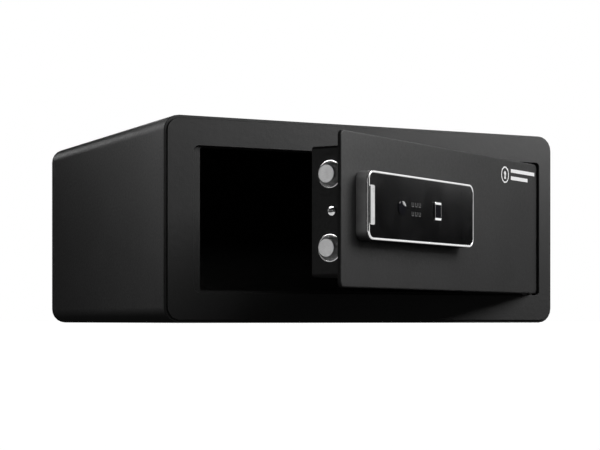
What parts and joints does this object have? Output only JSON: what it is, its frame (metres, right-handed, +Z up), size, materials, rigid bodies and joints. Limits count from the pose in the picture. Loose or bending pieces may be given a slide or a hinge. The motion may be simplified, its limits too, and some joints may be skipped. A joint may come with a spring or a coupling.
{
  "type": "in-room safe",
  "caption": "Low steel in-room safe, hinged front door part open, chrome-rimmed fingerprint panel on the door, round motor-driven bolts and a battery bay inside the door.",
  "frame": {"origin": "centre of the base's underside", "axes": "+Z up, the door faces -Y, the hinge is on the +X side"},
  "size_m": [0.431, 0.5508, 0.195],
  "materials": {
    "coat": "fine-textured powder coat",
    "steel": "zinc plated",
    "chrome": "polished and satin",
    "brass": "machined",
    "gloss": "gloss",
    "plastic": "satin moulded",
    "glass": "dark polished",
    "felt": "needled felt",
    "board": "solder resist",
    "wire": "insulated wire",
    "cell": "printed sleeve"
  },
  "bodies": {
    "safe_body": {"body_wrap": "coat", "front_frame": "coat", "back_panel": "coat", "floor_mat": "felt", "anchor_plug_left": "plastic", "anchor_plug_right": "plastic", "hinge_bracket_lower": "steel", "hinge_bracket_upper": "steel", "hinge_pin_lower": "steel", "hinge_pin_upper": "steel"},
    "bolts": {"bolt_carriage": "steel", "bolt_lower": "chrome", "bolt_upper": "chrome"},
    "pinion": {"drive_pinion": "brass"},
    "key_plug": {"lock_plug": "brass", "lock_cam": "steel"},
    "key_cover": {"key_cover": "gloss"},
    "battery_cover": {"battery_cover": "plastic"},
    "reset_button": {"reset_button": "plastic"},
    "door": {"battery_cell_1": "cell", "battery_cell_2": "cell", "battery_cell_3": "cell", "battery_cell_4": "cell", "battery_lead": "wire", "battery_tray": "plastic", "board_connector": "plastic", "board_switch": "plastic", "bolt_bush_lower": "chrome", "bolt_bush_upper": "chrome", "bolt_housing": "coat", "chrome_tab": "chrome", "door_plate": "coat", "face_panel": "gloss", "gearbox": "brass", "guide_plate": "steel", "hinge_lug_lower": "steel", "hinge_lug_upper": "steel", "housing_end_screw": "chrome", "housing_post_1": "steel", "housing_post_2": "steel", "housing_post_3": "steel", "housing_post_4": "steel", "housing_screw_1": "steel", "housing_screw_2": "steel", "housing_screw_3": "steel", "housing_screw_4": "steel", "indicator_lens": "glass", "lock_cylinder": "brass", "lock_nut": "steel", "main_board": "board", "module_base": "plastic", "module_bezel": "chrome", "motor": "steel", "motor_bracket": "steel", "motor_lead": "wire", "override_switch": "plastic", "ribbon_cable": "wire", "sensor_frame": "chrome", "sensor_glass": "glass"}
  },
  "joints": [
    {"name": "door_hinge", "type": "hinge", "parent": "safe_body", "child": "door", "pos_m": [0.1923, -0.174, 0], "axis": [0, 0, 1], "range_deg": [-30.7, 68]},
    {"name": "bolt_slide", "type": "slide", "parent": "door", "child": "bolts", "axis": [-0.8599, -0.5105, 0], "range_m": [0, 0.014]},
    {"name": "pinion_spin", "type": "hinge", "parent": "door", "child": "pinion", "pos_m": [-0.0426, -0.31115, 0.088], "axis": [0.5105, -0.8599, 0], "range_deg": [0, 111.5]},
    {"name": "key_turn", "type": "hinge", "parent": "door", "child": "key_plug", "pos_m": [0.04243, -0.26299, 0.102], "axis": [0.5105, -0.8599, 0], "range_deg": [0, 90]},
    {"name": "key_cover_slide", "type": "slide", "parent": "door", "child": "key_cover", "axis": [0.5105, -0.8599, 0], "range_m": [0, 0.02]},
    {"name": "battery_cover_slide", "type": "slide", "parent": "door", "child": "battery_cover", "axis": [-0.5105, 0.8599, 0], "range_m": [0, 0.02]},
    {"name": "reset_press", "type": "slide", "parent": "door", "child": "reset_button", "axis": [0.5105, -0.8599, 0], "range_m": [0, 0.001], "stiffness_N_per_m": 300}
  ],
  "couplings": [
    {"joint": "pinion_spin", "follows": "bolt_slide", "rad_per_m": 138.89}
  ]
}
